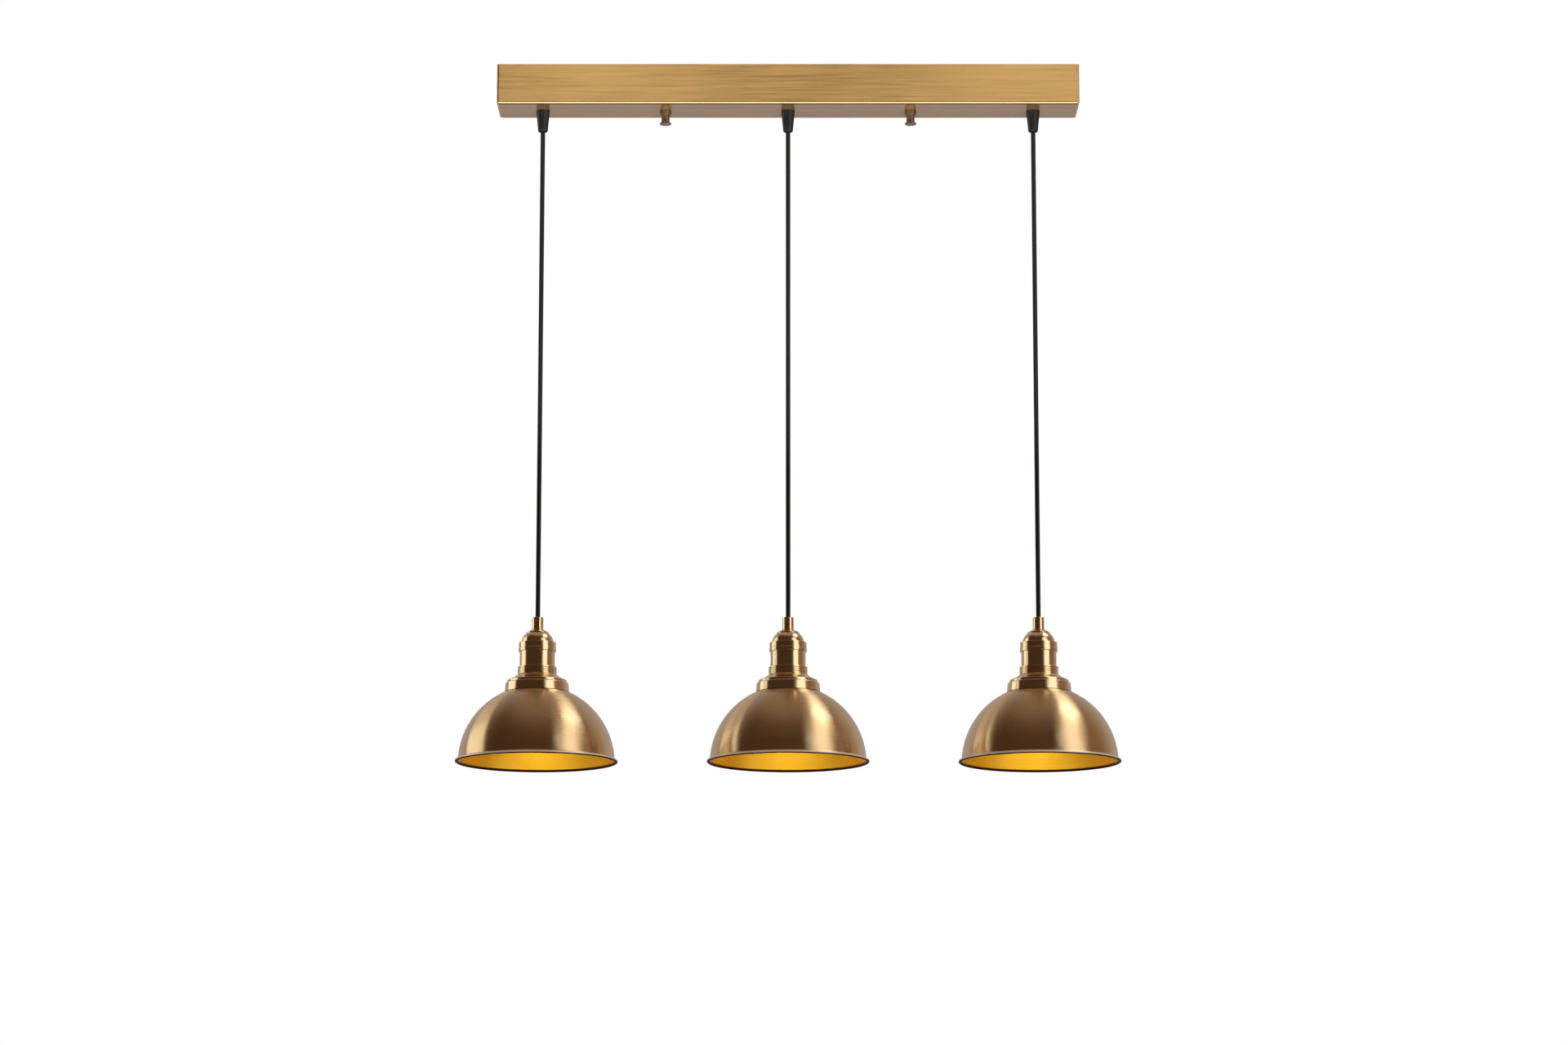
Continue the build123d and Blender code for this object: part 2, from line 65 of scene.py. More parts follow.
LAMPS = ("left", "middle", "right")
MM = 0.001
MERGE_DISTANCE = 0.01 * MM
# Edges that bend by less than this are shaded smooth.
SMOOTH_ANGLE = radians(40)
SHADE_SMOOTH_ANGLE = radians(35)


def linear(colour):
    """Turns an sRGB hex colour into linear red, green and blue."""
    parts = [int(colour[i:i + 2], 16) / 255 for i in (1, 3, 5)]
    return tuple(c / 12.92 if c <= 0.04045 else ((c + 0.055) / 1.055) ** 2.4 for c in parts)


def lamp_axis(lamp):
    """X of a lamp's axis, from its shade."""
    low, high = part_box(f"shade_{lamp}")
    return (low.x + high.x) / 2


class PendantSizes(bpy.types.PropertyGroup):
    """Sizes of the pieces that are modelled here."""

    cord_diameter: bpy.props.FloatProperty(
        name="Cord diameter", description="Outside of the cord's sheath",
        default=5.6 * MM, min=1 * MM, unit="LENGTH")
    grip_bend_run: bpy.props.FloatProperty(
        name="Grip bend run", description="Length of cord over which it bends below the grip",
        default=10.0 * MM, min=1 * MM, unit="LENGTH")
    bend_height: bpy.props.FloatProperty(
        name="Bend height", description="Height about which a cord bends sideways",
        default=-137.0 * MM, unit="LENGTH")
    bend_run: bpy.props.FloatProperty(
        name="Bend run", description="Length of cord over which it bends sideways",
        default=40.0 * MM, min=5 * MM, unit="LENGTH")
    fold_radius: bpy.props.FloatProperty(
        name="Canopy fold radius", description="Outside radius of the canopy's bends",
        default=2.8 * MM, min=0.5 * MM, unit="LENGTH")
    ball_radius: bpy.props.FloatProperty(
        name="Shade ball radius", description="Outside radius of the shade's dome",
        default=93.4 * MM, min=20 * MM, unit="LENGTH")
    ball_drop: bpy.props.FloatProperty(
        name="Shade ball drop", description="How far the dome's centre lies below its rim",
        default=2.4 * MM, unit="LENGTH")
    shade_wall: bpy.props.FloatProperty(
        name="Shade wall", description="Thickness of the spun sheet",
        default=1.0 * MM, min=0.3 * MM, unit="LENGTH")
    bead_radius: bpy.props.FloatProperty(
        name="Rim roll radius", description="Radius of the rolled rim",
        default=1.75 * MM, min=0.5 * MM, unit="LENGTH")
    crown_hole: bpy.props.FloatProperty(
        name="Crown hole radius", description="Radius of the fitter hole in the shade's crown",
        default=21.3 * MM, min=5 * MM, unit="LENGTH")
    thread_pitch: bpy.props.FloatProperty(
        name="Socket thread pitch", description="Rise of one turn of the bulb socket's thread",
        default=3.6 * MM, min=1 * MM, unit="LENGTH")
    thread_depth: bpy.props.FloatProperty(
        name="Socket thread depth", description="Depth of the rolled thread",
        default=1.1 * MM, min=0.2 * MM, unit="LENGTH")
    shell_wall: bpy.props.FloatProperty(
        name="Socket wall", description="Thickness of the screw shell's sheet",
        default=0.5 * MM, min=0.1 * MM, unit="LENGTH")
    floor_drop: bpy.props.FloatProperty(
        name="Floor below ceiling", description="Height of the room that the lamp hangs in",
        default=2.4, min=1.0, unit="LENGTH")


def colour_property(label, note, colour):
    """A colour that a user can change, with its sRGB hex default."""
    return bpy.props.FloatVectorProperty(
        name=label, description=note, default=linear(colour), min=0, max=1, size=3, subtype="COLOR")


class PendantColours(bpy.types.PropertyGroup):
    """Colours of the finishes."""

    canopy: colour_property("Canopy brass", "Brushed brass of the canopy", "#e8bc76")
    shade: colour_property("Shade brass", "Spun brass of the shades", "#f2d29a")
    inside: colour_property("Shade inside", "Gold lacquer inside the shades", "#fabd28")
    polished: colour_property("Polished brass", "Turned brass of the sockets", "#f2d9a8")
    nut: colour_property("Nut brass", "Dark satin brass of the thumb nuts", "#75634a")
    # This colour is a painted highlight: the pale line along the top and outside of each rolled rim.
    rim: colour_property("Rim brass", "Pale buffed outside of the shades' rolled rims", "#e9d8c2")
    # This colour is painted shade: the dark line under each rolled rim.
    browned: colour_property("Browned brass", "Dull underside of the shades' rolled rims", "#633d14")
    plated: colour_property("Plated brass", "Brass of the inner fittings", "#d8bd84")
    zinc: colour_property("Zinc", "Plating of the steel bracket", "#c6c9cc")
    nylon: colour_property("Black nylon", "Moulded cord grips", "#161616")
    cord: colour_property("Black sheath", "Sheath of the cords", "#0c0c0d")
    block: colour_property("Natural nylon", "Terminal block", "#e3e2d8")
    porcelain: colour_property("Porcelain", "Lamp holders", "#ece7da")
    live: colour_property("Live core", "Insulation of the live cores", "#6b4326")
    neutral: colour_property("Neutral core", "Insulation of the neutral cores", "#2f66ad")
    earth: colour_property("Earth core", "Green of the earth cores", "#3f8f36")
    earth_stripe: colour_property("Earth stripe", "Yellow of the earth cores", "#e2cf3a")
    floor: colour_property("Floor", "Plain studio floor", "#e6e6e8")


def deselect():
    """Leaves edit mode and deselects every object."""
    if bpy.context.mode != "OBJECT":
        bpy.ops.object.mode_set(mode="OBJECT")
    bpy.ops.object.select_all(action="DESELECT")


def make_active(piece):
    """Selects one object alone and makes it the active one."""
    deselect()
    piece.select_set(True)
    bpy.context.view_layer.objects.active = piece


def node(tree, kind, values=None, links=None, **settings):
    """Adds a node with its settings, its sockets' values and its links."""
    made = tree.nodes.new(kind)
    for key, value in settings.items():
        setattr(made, key, value)
    for socket, value in (values or {}).items():
        made.inputs[socket].default_value = value
    for socket, source in (links or {}).items():
        tree.links.new(source, made.inputs[socket])
    return made


def new_material(name):
    """An empty material with its node tree and its Object coordinates."""
    material = bpy.data.materials.new(name)
    material.use_nodes = True
    tree = material.node_tree
    tree.nodes.clear()
    place = node(tree, "ShaderNodeTexCoord").outputs["Object"]
    return material, tree, place


def shaded(colour, share):
    """A colour made lighter or darker, with its alpha."""
    return (*[min(1.0, c * share) for c in colour], 1.0)


def on_fold(tree, place):
    """1 on the bends between the canopy's underside and its sides, and 0 elsewhere."""
    low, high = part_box("canopy_housing")
    bend = bpy.context.scene.pendant_sizes.fold_radius
    soft = bend / 5
    spots = node(tree, "ShaderNodeSeparateXYZ", {}, {0: place}).outputs
    shares = []
    for axis, edge in (("X", high.x), ("Y", high.y)):
        away = node(tree, "ShaderNodeMath", {}, {0: spots[axis]}, operation="ABSOLUTE")
        shares.append(node(
            tree, "ShaderNodeMapRange", {"From Min": edge - bend, "From Max": edge - bend + soft},
            {"Value": away.outputs[0]}))
    side = node(
        tree, "ShaderNodeMath", links={0: shares[0].outputs[0], 1: shares[1].outputs[0]},
        operation="MAXIMUM")
    deep = node(
        tree, "ShaderNodeMapRange", {"From Min": low.z + bend, "From Max": low.z + bend - soft},
        {"Value": spots["Z"]})
    both = node(
        tree, "ShaderNodeMath", links={0: side.outputs[0], 1: deep.outputs[0]}, operation="MULTIPLY")
    return both.outputs[0]


def brushed_brass(
        name, colour, line, length, turned, roughness, stretch, coat, shine=0.06, metallic=1.0):
    """Brass sheet or turning with a lacquer over it.

    Brushing scratches run along the work, so the metal mirrors softly across them and sharply
    along them. Turned pieces have them as rings about Z, and the canopy has them along X.
    line and length are the scratches' width and length in metres, stretch is how much the
    brushing draws a reflection out across them, and shine is how much they differ. Real
    scratches are under 0.1 mm wide, so the lines are drawn coarser, to show.
    """
    material, tree, place = new_material(name)
    spread = shine * roughness
    across = 1 / line
    along = 1 / length
    scale = (along, along, across) if turned else (along, across, across)
    scratches = node(tree, "ShaderNodeMapping", {"Scale": scale}, {"Vector": place})
    grain = node(
        tree, "ShaderNodeTexNoise", {"Scale": 1.0, "Detail": 3.0, "Roughness": 0.65},
        {"Vector": scratches.outputs[0]})
    cloud_size = 70 * MM
    cloud = node(
        tree, "ShaderNodeTexNoise", {"Scale": 1 / cloud_size, "Detail": 2.0, "Roughness": 0.5},
        {"Vector": place})
    tint = node(
        tree, "ShaderNodeMixRGB",
        {"Color1": shaded(colour, 1 - shine), "Color2": shaded(colour, 1 + shine)},
        {"Fac": grain.outputs["Fac"]})
    mixed = node(
        tree, "ShaderNodeMapRange",
        {"From Min": 0.3, "From Max": 0.7, "To Min": roughness - spread, "To Max": roughness + spread},
        {"Value": grain.outputs["Fac"]})
    wear = 0.03
    worn = node(
        tree, "ShaderNodeMath", {1: 2 * wear, 2: -wear}, {0: cloud.outputs["Fac"]},
        operation="MULTIPLY_ADD")
    rough = node(
        tree, "ShaderNodeMath", links={0: mixed.outputs[0], 1: worn.outputs[0]}, operation="ADD")
    depth = 0.1 * MM
    bump = node(
        tree, "ShaderNodeBump", {"Strength": 0.06, "Distance": depth}, {"Height": grain.outputs["Fac"]})
    if turned:
        tangent = node(tree, "ShaderNodeTangent", direction_type="RADIAL", axis="Z").outputs[0]
    else:
        # Along X, but a little off it, so that the end faces have a direction too.
        tangent = node(tree, "ShaderNodeCombineXYZ", {"X": 0.995, "Y": 0.1, "Z": 0.0}).outputs[0]
        # Bending has burnished the folds, which catch a sharp bright line.
        burnished = 0.1
        rough = node(
            tree, "ShaderNodeMix", {"B": burnished},
            {"Factor": on_fold(tree, place), "A": rough.outputs[0]})
    shader = node(
        tree, "ShaderNodeBsdfPrincipled",
        {"Metallic": metallic, "Anisotropic": stretch, "Anisotropic Rotation": 0.25,
         "Coat Weight": coat, "Coat Roughness": 0.06, "Coat IOR": 1.5},
        {"Base Color": tint.outputs[0], "Roughness": rough.outputs[0], "Normal": bump.outputs[0],
         "Tangent": tangent})
    node(tree, "ShaderNodeOutputMaterial", links={"Surface": shader.outputs[0]})
    return material


def plain_finish(name, colour, roughness, grain_size, contrast, depth, metallic=0.0):
    """A plated, moulded or glazed surface with a fine uneven grain.

    grain_size and depth are the grain's width and height in metres, and contrast is how much
    its colour differs.
    """
    material, tree, place = new_material(name)
    uneven = 0.06
    grain = node(
        tree, "ShaderNodeTexNoise", {"Scale": 1 / grain_size, "Detail": 4.0, "Roughness": 0.6},
        {"Vector": place})
    tint = node(
        tree, "ShaderNodeMixRGB",
        {"Color1": shaded(colour, 1 - contrast), "Color2": shaded(colour, 1 + contrast)},
        {"Fac": grain.outputs["Fac"]})
    rough = node(
        tree, "ShaderNodeMapRange",
        {"To Min": roughness * (1 - uneven), "To Max": roughness * (1 + uneven)},
        {"Value": grain.outputs["Fac"]})
    bump = node(
        tree, "ShaderNodeBump", {"Strength": 0.15, "Distance": depth}, {"Height": grain.outputs["Fac"]})
    shader = node(
        tree, "ShaderNodeBsdfPrincipled", {"Metallic": metallic},
        {"Base Color": tint.outputs[0], "Roughness": rough.outputs[0], "Normal": bump.outputs[0]})
    node(tree, "ShaderNodeOutputMaterial", links={"Surface": shader.outputs[0]})
    return material


def earth_insulation(name, green, yellow):
    """Earth cores: smooth green PVC with a yellow stripe that winds round the wire."""
    material, tree, place = new_material(name)
    stripe_spacing = 12 * MM
    wave = node(
        tree, "ShaderNodeTexWave", {"Scale": 1 / stripe_spacing, "Distortion": 0.4, "Detail": 1.0},
        {"Vector": place}, wave_type="BANDS", bands_direction="DIAGONAL")
    stripe = node(
        tree, "ShaderNodeMapRange", {"From Min": 0.55, "From Max": 0.6}, {"Value": wave.outputs["Fac"]})
    tint = node(
        tree, "ShaderNodeMixRGB", {"Color1": shaded(green, 1), "Color2": shaded(yellow, 1)},
        {"Fac": stripe.outputs[0]})
    shader = node(
        tree, "ShaderNodeBsdfPrincipled", {"Roughness": 0.4}, {"Base Color": tint.outputs[0]})
    node(tree, "ShaderNodeOutputMaterial", links={"Surface": shader.outputs[0]})
    return material


# Each finish: the function that makes it, the name of its colour and its settings.
FINISHES = {
    # Straight scratches along the sheet, which draw reflections out into soft upright bands.
    "brushed_canopy_brass": (brushed_brass, "canopy", dict(
        line=1.2 * MM, length=70 * MM, turned=False, roughness=0.36, stretch=0.85, coat=1.0, shine=0.22)),
    # Rings from the spinning lathe, which draw each lamp's reflection down the dome as a band.
    "spun_shade_brass": (brushed_brass, "shade", dict(
        line=1.2 * MM, length=200 * MM, turned=True, roughness=0.3, stretch=1.0, coat=0.6, shine=0.11)),
    # Gold lacquer over the spun sheet: deep yellow, half matt, brighter where light falls in.
    "gold_lacquer_inside": (brushed_brass, "inside", dict(
        line=1.6 * MM, length=200 * MM, turned=True, roughness=0.45, stretch=0.4, coat=0.1, shine=0.1,
        metallic=0.5)),
    # Painted shade: a dark dull colour on the underside of the rolled rim, which shows as a thin dark line.
    "browned_rim_brass": (plain_finish, "browned", dict(
        roughness=0.5, grain_size=3 * MM, contrast=0.1, depth=0.02 * MM, metallic=1.0)),
    # Painted highlight: a pale colour on the top and outside of the rolled rim, which shows as a thin pale
    # line.
    "buffed_rim_brass": (plain_finish, "rim", dict(
        roughness=0.3, grain_size=3 * MM, contrast=0.05, depth=0.01 * MM, metallic=0.5)),
    # Lathe polish: nearly a mirror, with sharp bright edges and dark middles.
    "polished_turned_brass": (brushed_brass, "polished", dict(
        line=0.6 * MM, length=200 * MM, turned=True, roughness=0.2, stretch=0.8, coat=0.5)),
    # Small turned nuts with a darkened lacquer: satin, with soft glints.
    "darkened_nut_brass": (brushed_brass, "nut", dict(
        line=0.5 * MM, length=60 * MM, turned=True, roughness=0.26, stretch=0.4, coat=0.6, metallic=0.75)),
    # Thin bright plating on pressed fittings: even and lightly clouded.
    "plain_plated_brass": (plain_finish, "plated", dict(
        roughness=0.3, grain_size=4 * MM, contrast=0.06, depth=0.02 * MM, metallic=1.0)),
    # Zinc on cut strip and screws: grey, with faint patches.
    "zinc_plated_steel": (plain_finish, "zinc", dict(
        roughness=0.38, grain_size=6 * MM, contrast=0.12, depth=0.03 * MM, metallic=1.0)),
    # Moulded black nylon: satin, with a fine grain from its mould.
    "moulded_black_nylon": (plain_finish, "nylon", dict(
        roughness=0.42, grain_size=1 * MM, contrast=0.08, depth=0.02 * MM)),
    # Drawn black PVC: smooth and dull, with one faint line of light along it.
    "satin_black_sheath": (plain_finish, "cord", dict(
        roughness=0.55, grain_size=6 * MM, contrast=0.06, depth=0.01 * MM)),
    # Moulded nylon without dye: milky and satin.
    "moulded_natural_nylon": (plain_finish, "block", dict(
        roughness=0.45, grain_size=2 * MM, contrast=0.04, depth=0.04 * MM)),
    # Glazed porcelain: warm white with sharp small lights.
    "glazed_porcelain": (plain_finish, "porcelain", dict(
        roughness=0.14, grain_size=9 * MM, contrast=0.03, depth=0.03 * MM)),
    # Drawn PVC insulation: smooth, even and slightly shiny.
    "brown_insulation": (plain_finish, "live", dict(
        roughness=0.4, grain_size=3 * MM, contrast=0.06, depth=0.02 * MM)),
    "blue_insulation": (plain_finish, "neutral", dict(
        roughness=0.4, grain_size=3 * MM, contrast=0.06, depth=0.02 * MM)),
}


def finish(name):
    """A finish by name; each is made once, when a piece first needs it."""
    found = bpy.data.materials.get(name)
    if found:
        return found
    colours = bpy.context.scene.pendant_colours
    if name == "striped_earth_insulation":
        return earth_insulation(name, colours.earth, colours.earth_stripe)
    maker, colour, settings = FINISHES[name]
    return maker(name, getattr(colours, colour), **settings)


# Each kind of node, without the name of its lamp or side, and its finish.
NODE_FINISHES = {
    "canopy_housing": "brushed_canopy_brass",
    "ceiling_bracket": "zinc_plated_steel",
    "bracket_studs": "zinc_plated_steel",
    "stud_lock_nuts": "zinc_plated_steel",
    "grip_lock_nuts": "plain_plated_brass",
    "grip_clamp_screws": "moulded_black_nylon",
    "terminal_block": "moulded_natural_nylon",
    "terminal_screws": "zinc_plated_steel",
    "block_screws": "zinc_plated_steel",
    "live_cores": "brown_insulation",
    "neutral_cores": "blue_insulation",
    "earth_cores": "striped_earth_insulation",
    "thumb_nut": "darkened_nut_brass",
    "cord_grip": "moulded_black_nylon",
    "cord_tail": "satin_black_sheath",
    "cord_bend": "satin_black_sheath",
    "cord": "satin_black_sheath",
    "ferrule": "polished_turned_brass",
    "ferrule_screw": "plain_plated_brass",
    "socket_cap": "polished_turned_brass",
    "socket_shell": "polished_turned_brass",
    "shade_ring": "polished_turned_brass",
    "gallery": "polished_turned_brass",
    "shade": "spun_shade_brass",
    "lamp_holder": "glazed_porcelain",
    "screw_shell": "plain_plated_brass",
    "centre_contact": "plain_plated_brass",
    "retaining_ring": "plain_plated_brass",
}


class PENDANT_OT_finishes(bpy.types.Operator):
    """Gives every carried-over piece its finish"""

    bl_idname = "pendant.finishes"
    bl_label = "Finish the metal, nylon and porcelain"

    def execute(self, context):
        for name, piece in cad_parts.items():
            kind = name if name in NODE_FINISHES else name.rsplit("_", 1)[0]
            for slot in piece.material_slots:
                slot.material = finish(NODE_FINISHES[kind])
        return {"FINISHED"}


# Rings of faces between two points of a cord's line, and how finely its round is divided.
CORD_STEPS = 48
CORD_ROUNDING = 8


def cord_tube(name, x, top, bottom, diameter):
    """A straight tube along the cord's line, and the points that its line follows."""
    curve = bpy.data.curves.new(name, "CURVE")
    curve.dimensions = "3D"
    curve.resolution_u = CORD_STEPS
    spline = curve.splines.new("NURBS")
    spline.points.add(2)
    for point, z in zip(spline.points, (top, (top + bottom) / 2, bottom)):
        point.co = (x, 0, z, 1)
    spline.order_u = 3
    spline.use_endpoint_u = True
    tube = bpy.data.objects.new(name, curve)
    bpy.context.scene.collection.objects.link(tube)
    bpy.context.view_layer.update()
    line = bpy.data.meshes.new_from_object(tube)
    path = [tuple(v.co) for v in line.vertices]
    bpy.data.meshes.remove(line)
    curve.bevel_depth = diameter / 2
    curve.bevel_resolution = CORD_ROUNDING
    curve.use_fill_caps = True
    make_active(tube)
    bpy.ops.object.convert(target="MESH")
    bpy.ops.object.shade_smooth_by_angle(angle=SMOOTH_ANGLE)
    tube.data.materials.append(finish("satin_black_sheath"))
    return tube, path


class PENDANT_OT_cords(bpy.types.Operator):
    """Makes the two straight stretches of each cord, from the grip's mouth to a meeting below it and on
    down into the ferrule
    """

    bl_idname = "pendant.cords"
    bl_label = "Make the cords"

    def execute(self, context):
        sizes = context.scene.pendant_sizes
        for lamp in LAMPS:
            x = lamp_axis(lamp)
            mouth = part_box(f"cord_grip_{lamp}")[0].z
            ferrule_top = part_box(f"ferrule_{lamp}")[1].z
            meeting = sizes.bend_height + sizes.bend_run / 2
            diameter = sizes.cord_diameter
            end = ferrule_top - diameter
            upper, path = cord_tube(f"cord_upper_{lamp}", x, mouth, meeting, diameter)
            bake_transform(upper)
            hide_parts(f"cord_bend_{lamp}")
            lower, path = cord_tube(f"cord_lower_{lamp}", x, meeting, end, diameter)
            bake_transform(lower)
            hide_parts(f"cord_{lamp}")
        return {"FINISHED"}


# How near to a height an edge lies that counts as being there.
LEVEL_TOLERANCE = 0.05 * MM


def select_loop(mesh, height):
    """Selects the open edges of the mesh at a height, in edit mode."""
    bpy.ops.mesh.select_all(action="DESELECT")
    bpy.ops.mesh.select_mode(type="EDGE")
    bpy.ops.mesh.select_non_manifold(extend=False)
    bpy.ops.object.mode_set(mode="OBJECT")
    for edge in mesh.edges:
        if edge.select:
            heights = [mesh.vertices[i].co.z for i in edge.vertices]
            edge.select = all(abs(z - height) < LEVEL_TOLERANCE for z in heights)
    for vertex in mesh.vertices:
        vertex.select = False
    for edge in mesh.edges:
        if edge.select:
            for i in edge.vertices:
                mesh.vertices[i].select = True
    bpy.ops.object.mode_set(mode="EDIT")


def pull_loop(centre, old, new):
    """Extrudes the selected ring from one (radius, height) to the next about a vertical axis."""
    bpy.ops.mesh.extrude_edges_move()
    grow = new[0] / old[0]
    pivot = Vector((centre.x, centre.y, old[1]))
    bpy.ops.transform.resize(value=(grow, grow, 1), center_override=pivot)
    bpy.ops.transform.translate(value=(0, 0, new[1] - old[1]))


# The roll of a shade's rim: turn of its first corner, turn between corners, and their number.
ROLL_START = 112
ROLL_STEP = 16.5
ROLL_CORNERS = 21
# The rim's painted highlight on its outside: its depth in roll radii, and the turn that it reaches down to.
RIM_HIGHLIGHT_DEPTH = 1.6
RIM_HIGHLIGHT_END = -15
# Height above the rim where the dome meets the roll, in roll radii.
DOME_END = 1.5
# Faces round a shade, and from pole to pole of the ball that it is cut from.
SHADE_SEGMENTS = 256
SHADE_RINGS = 128


def rim_profile(sizes, rim, rim_radius):
    """Corners of the shade's flare and roll, from the dome's edge round to the tucked end."""
    bead = sizes.bead_radius
    middle = rim_radius - bead
    corners = []
    for step in range(ROLL_CORNERS):
        turn = radians(ROLL_START - step * ROLL_STEP)
        corners.append((middle + bead * cos(turn), rim + bead * sin(turn)))
    return corners


def share_out(model, kind, node_kind):
    """Copies a piece made on the middle lamp to the others, and lets each stand for its node."""
    for lamp in LAMPS:
        piece = model
        if lamp != "middle":
            make_active(model)
            bpy.ops.object.duplicate(linked=False)
            piece = bpy.context.active_object
            bpy.ops.transform.translate(value=(lamp_axis(lamp) - lamp_axis("middle"), 0, 0))
            bpy.ops.object.transform_apply(location=True, rotation=True, scale=True)
        piece.name = f"{kind}_{lamp}"
        piece.data.name = piece.name
        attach(piece, f"lamp_{lamp}")
        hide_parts(f"{node_kind}_{lamp}")


class PENDANT_OT_shades(bpy.types.Operator):
    """Spins a shade with dome, flat crown, rolled rim and gold lacquer inside, and copies it"""

    bl_idname = "pendant.shades"
    bl_label = "Spin the shades"

    def execute(self, context):
        sizes = context.scene.pendant_sizes
        low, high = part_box("shade_middle")
        rim = low.z + sizes.bead_radius
        rim_radius = (high.x - low.x) / 2
        crown = high.z
        centre = Vector((lamp_axis("middle"), 0, rim - sizes.ball_drop))
        dome_end = rim + sizes.bead_radius * DOME_END
        deselect()
        bpy.ops.mesh.primitive_uv_sphere_add(
            segments=SHADE_SEGMENTS, ring_count=SHADE_RINGS, radius=sizes.ball_radius, location=centre)
        shade = context.active_object
        bpy.ops.object.transform_apply(location=True, rotation=True, scale=True)
        mesh = shade.data
        bpy.ops.object.mode_set(mode="EDIT")
        bpy.ops.mesh.select_all(action="SELECT")
        bpy.ops.mesh.bisect(plane_co=(0, 0, dome_end), plane_no=(0, 0, 1), clear_inner=True)
        bpy.ops.mesh.select_all(action="SELECT")
        bpy.ops.mesh.bisect(plane_co=(0, 0, crown), plane_no=(0, 0, 1), clear_outer=True)
        select_loop(mesh, crown)
        crown_radius = sqrt(sizes.ball_radius ** 2 - (crown - centre.z) ** 2)
        pull_loop(centre, (crown_radius, crown), (sizes.crown_hole, crown))
        select_loop(mesh, dome_end)
        old = (sqrt(sizes.ball_radius ** 2 - (dome_end - centre.z) ** 2), dome_end)
        for new in rim_profile(sizes, rim, rim_radius):
            pull_loop(centre, old, new)
            old = new
        bpy.ops.mesh.select_all(action="SELECT")
        bpy.ops.mesh.remove_doubles(threshold=MERGE_DISTANCE)
        bpy.ops.mesh.normals_make_consistent(inside=False)
        bpy.ops.object.mode_set(mode="OBJECT")
        layers = ("spun_shade_brass", "gold_lacquer_inside", "buffed_rim_brass", "browned_rim_brass")
        for layer in layers:
            mesh.materials.append(finish(layer))
        highlighted = layers.index("buffed_rim_brass")
        browned = layers.index("browned_rim_brass")
        lacquered = layers.index("gold_lacquer_inside")
        # Faces on the top and outside of the roll get the painted highlight, and the rest of the roll gets
        # painted shade.
        highlight_from = rim + sizes.bead_radius * sin(radians(RIM_HIGHLIGHT_END))
        for face in mesh.polygons:
            reach = sqrt((face.center.x - centre.x) ** 2 + (face.center.y - centre.y) ** 2)
            outside = reach > rim_radius - RIM_HIGHLIGHT_DEPTH * sizes.bead_radius
            if face.center.z < rim + sizes.bead_radius:
                face.material_index = highlighted if outside and face.center.z > highlight_from else browned
        wall = shade.modifiers.new("Wall", "SOLIDIFY")
        wall.thickness = sizes.shade_wall
        wall.offset = -1
        wall.material_offset = lacquered
        wall.material_offset_rim = lacquered
        bpy.ops.object.modifier_apply(modifier="Wall")
        bpy.ops.object.shade_smooth_by_angle(angle=SHADE_SMOOTH_ANGLE)
        share_out(shade, "spun_shade", "shade")
        return {"FINISHED"}


# Corners of one turn of the socket's thread, its faces round, and turns that are cut off again.
THREAD_CORNERS = 16
THREAD_SIDES = 64
SPARE_TURNS = 3


class PENDANT_OT_sockets(bpy.types.Operator):
    """Rolls the bulb thread into a screw shell, and copies it"""

    bl_idname = "pendant.sockets"
    bl_label = "Roll the bulb sockets"

    def execute(self, context):
        sizes = context.scene.pendant_sizes
        low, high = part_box("screw_shell_middle")
        pitch = sizes.thread_pitch
        crest = (high.x - low.x) / 2
        deselect()
        bpy.ops.mesh.primitive_plane_add(size=pitch, location=(0, 0, 0))
        shell = context.active_object
        bpy.ops.object.mode_set(mode="EDIT")
        # The profile starts from one point, which only vertex mode can select.
        bpy.ops.mesh.select_mode(type="VERT")
        bpy.ops.mesh.select_all(action="SELECT")
        bpy.ops.mesh.merge(type="CENTER")
        bpy.ops.transform.translate(value=(crest, 0, low.z - pitch))
        old = crest
        for step in range(1, THREAD_CORNERS + 1):
            new = crest - sizes.thread_depth * (1 - cos(radians(360 * step / THREAD_CORNERS))) / 2
            bpy.ops.mesh.extrude_vertices_move()
            bpy.ops.transform.translate(value=(new - old, 0, pitch / THREAD_CORNERS))
            old = new
        bpy.ops.object.mode_set(mode="OBJECT")
        thread = shell.modifiers.new("Thread", "SCREW")
        thread.screw_offset = pitch
        thread.iterations = int((high.z - low.z) / pitch) + SPARE_TURNS
        thread.steps = THREAD_SIDES
        thread.render_steps = THREAD_SIDES
        thread.use_merge_vertices = True
        thread.merge_threshold = MERGE_DISTANCE
        bpy.ops.object.modifier_apply(modifier="Thread")
        bpy.ops.object.mode_set(mode="EDIT")
        bpy.ops.mesh.select_all(action="SELECT")
        bpy.ops.mesh.remove_doubles(threshold=MERGE_DISTANCE)
        # A wall's thickness off each end, because the wall leans past the cut.
        bottom = low.z + sizes.shell_wall
        top = high.z - sizes.shell_wall
        bpy.ops.mesh.bisect(plane_co=(0, 0, bottom), plane_no=(0, 0, 1), clear_inner=True)
        bpy.ops.mesh.select_all(action="SELECT")
        bpy.ops.mesh.bisect(plane_co=(0, 0, top), plane_no=(0, 0, 1), clear_outer=True)
        bpy.ops.mesh.select_all(action="SELECT")
        # The rolled sheet is open at both ends, and this turns its outside outwards.
        bpy.ops.mesh.normals_make_consistent(inside=True)
        bpy.ops.object.mode_set(mode="OBJECT")
        wall = shell.modifiers.new("Wall", "SOLIDIFY")
        wall.thickness = sizes.shell_wall
        wall.offset = -1
        bpy.ops.object.modifier_apply(modifier="Wall")
        bpy.ops.object.shade_smooth_by_angle(angle=SMOOTH_ANGLE)
        shell.data.materials.append(finish("plain_plated_brass"))
        share_out(shell, "threaded_shell", "screw_shell")
        return {"FINISHED"}


